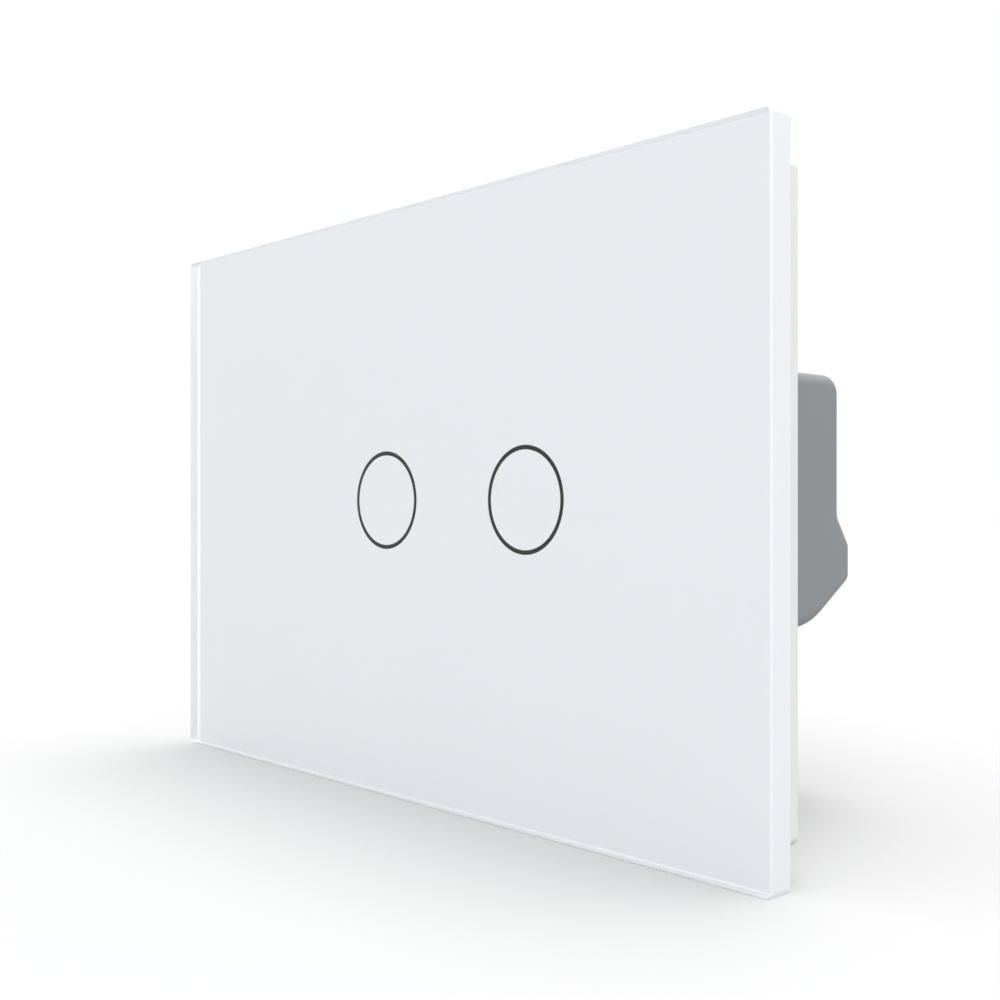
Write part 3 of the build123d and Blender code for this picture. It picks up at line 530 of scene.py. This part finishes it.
# How squarely a surface faces forwards or backwards, where it is still ground and where it is all clear.
ground_up_to, clear_from = 0.75, 0.85
facing = add_node(tree, "ShaderNodeNewGeometry").outputs["True Normal"]
facing = add_node(tree, "ShaderNodeSeparateXYZ", {0: facing})
depth = add_node(tree, "ShaderNodeMath", {0: facing.outputs["Y"]}, operation="ABSOLUTE")
polished = add_node(tree, "ShaderNodeMapRange", {
    "Value": depth.outputs[0], "From Min": ground_up_to, "From Max": clear_from}).outputs["Result"]
tint = add_node(tree, "ShaderNodeMix", {0: polished, 6: linear("#F9FBFF"), 7: linear("#FBFDFD")},
                data_type="RGBA")
# The grinding leaves a fine grain on the edges, drawn a little coarser than real so that it shows.
grind_size, grind_strength, grind_depth = 0.15, 0.3, 0.004 * mm
place = add_node(tree, "ShaderNodeTexCoord").outputs["Object"]
grind = add_node(tree, "ShaderNodeTexNoise", {"Vector": place, "Scale": per_mm(grind_size), "Detail": 2.0})
rest = add_node(tree, "ShaderNodeMath", {0: grind_strength, 1: polished}, operation="SUBTRACT",
                use_clamp=True)
normal = add_node(tree, "ShaderNodeBump", {
    "Height": grind.outputs["Fac"], "Strength": rest.outputs[0], "Distance": grind_depth})
ground_rough = 0.35
rough = add_node(tree, "ShaderNodeMapRange", {"Value": polished, "To Min": ground_rough, "To Max": 0.0})
shader = add_node(tree, "ShaderNodeBsdfPrincipled", {
    "Base Color": tint.outputs[2],
    "Roughness": rough.outputs["Result"],
    "IOR": 1.52,
    "Transmission Weight": polished,
    "Normal": normal.outputs["Normal"]})
# Light reaches the print straight through the glass, so that it is lit evenly and without grain.
seen = add_node(tree, "ShaderNodeLightPath")
lit = add_node(tree, "ShaderNodeMath", {0: seen.outputs["Is Shadow Ray"], 1: seen.outputs["Is Diffuse Ray"]},
               operation="MAXIMUM")
clear = add_node(tree, "ShaderNodeBsdfTransparent", {"Color": linear("#FBFCFC")})
# A quarter of what reaches a milky edge passes through it and is scattered.
milk_share = 0.25
milk = add_node(tree, "ShaderNodeBsdfTranslucent", {"Color": linear("#F9FBFF")})
spread = add_node(tree, "ShaderNodeMapRange", {"Value": polished, "To Min": milk_share, "To Max": 0.0})
body = add_node(tree, "ShaderNodeMixShader", {
    0: spread.outputs["Result"], 1: shader.outputs["BSDF"], 2: milk.outputs[0]})
whole = add_node(tree, "ShaderNodeMixShader", {0: lit.outputs[0], 1: body.outputs[0], 2: clear.outputs[0]})
add_node(tree, "ShaderNodeOutputMaterial", {"Surface": whole.outputs[0]})
dress(low_iron_glass, "glass_panel")


# Floor, backdrop and light
# A matt pale table under the switch, which stands on its glass edge, with an even white surround, a broad
# lamp high behind it and a second one to the right of its front.

table_size = 4.0
table_gap = 0.03 * mm
floor_mesh = bpy.data.meshes.new("floor")
shape = bmesh.new()
bmesh.ops.create_grid(shape, x_segments=1, y_segments=1, size=table_size)
bmesh.ops.translate(shape, verts=shape.verts, vec=(0, 0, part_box("glass_panel")[0].z - table_gap))
shape.to_mesh(floor_mesh)
shape.free()
floor = bpy.data.objects.new("floor", floor_mesh)
scene.collection.objects.link(floor)

# White card whose colour is painted: darker near the switch as painted shade, and paler with its distance as
# painted light where the lamps' light falls off. Bounced light meets it as a darker one, so that the switch
# is lit from above as in a studio.
card_with_painted_falloff = blank_material("card_with_painted_falloff")
tree = card_with_painted_falloff.node_tree
near_edge, far_edge = 0.25, 1.2
seen = add_node(tree, "ShaderNodeLightPath")
place = add_node(tree, "ShaderNodeTexCoord").outputs["Object"]
reach = add_node(tree, "ShaderNodeVectorMath", {0: place}, operation="LENGTH")
far = add_node(tree, "ShaderNodeMapRange", {
    "Value": reach.outputs["Value"], "From Min": near_edge, "From Max": far_edge})
# Painted shade near the switch, paling to painted light farther out, in place of the lamps' falloff.
painted_falloff_tone = add_node(tree, "ShaderNodeMix",
                {0: far.outputs["Result"], 6: linear("#CFCFCF"), 7: linear("#E7E7E7")}, data_type="RGBA")
tone = add_node(tree, "ShaderNodeMix",
                {0: seen.outputs["Is Diffuse Ray"], 6: painted_falloff_tone.outputs[2], 7: linear("#808080")},
                data_type="RGBA")
matt = add_node(tree, "ShaderNodeBsdfDiffuse", {"Color": tone.outputs[2]})
add_node(tree, "ShaderNodeOutputMaterial", {"Surface": matt.outputs[0]})
floor_mesh.materials.append(card_with_painted_falloff)

# The surround lights the switch at one level and shows as plain white, also in metal and through glass.
light_level, shown_level = 1.25, 1.0
surround = bpy.data.worlds.new("surround")
surround.use_nodes = True
tree = surround.node_tree
tree.nodes.clear()
seen = add_node(tree, "ShaderNodeLightPath")
shown = add_node(tree, "ShaderNodeMath", {0: seen.outputs["Is Camera Ray"], 1: seen.outputs["Is Glossy Ray"]},
                 operation="MAXIMUM")
shown = add_node(tree, "ShaderNodeMath", {0: shown.outputs[0], 1: seen.outputs["Is Transmission Ray"]},
                 operation="MAXIMUM")
level = add_node(tree, "ShaderNodeMapRange", {
    "Value": shown.outputs[0], "To Min": light_level, "To Max": shown_level})
sky = add_node(tree, "ShaderNodeBackground", {"Color": (1, 1, 1, 1), "Strength": level.outputs["Result"]})
add_node(tree, "ShaderNodeOutputWorld", {"Surface": sky.outputs[0]})
scene.world = surround


def soft_lamp(name, place, width, height, watts):
    """A rectangular lamp that faces the middle of the switch."""
    data = bpy.data.lights.new(name, "AREA")
    data.shape = "RECTANGLE"
    data.size = width
    data.size_y = height
    data.energy = watts
    made = bpy.data.objects.new(name, data)
    made.location = place
    made.rotation_euler = Vector(place).to_track_quat("Z", "Y").to_euler()
    scene.collection.objects.link(made)


soft_lamp("high_lamp", (0.03, 0.24, 0.92), width=0.6, height=0.4, watts=4.0)
soft_lamp("front_lamp", (0.9, -0.88, 0.25), width=0.9, height=0.9, watts=4.2)


# Colour view
scene.view_settings.view_transform = "Standard"
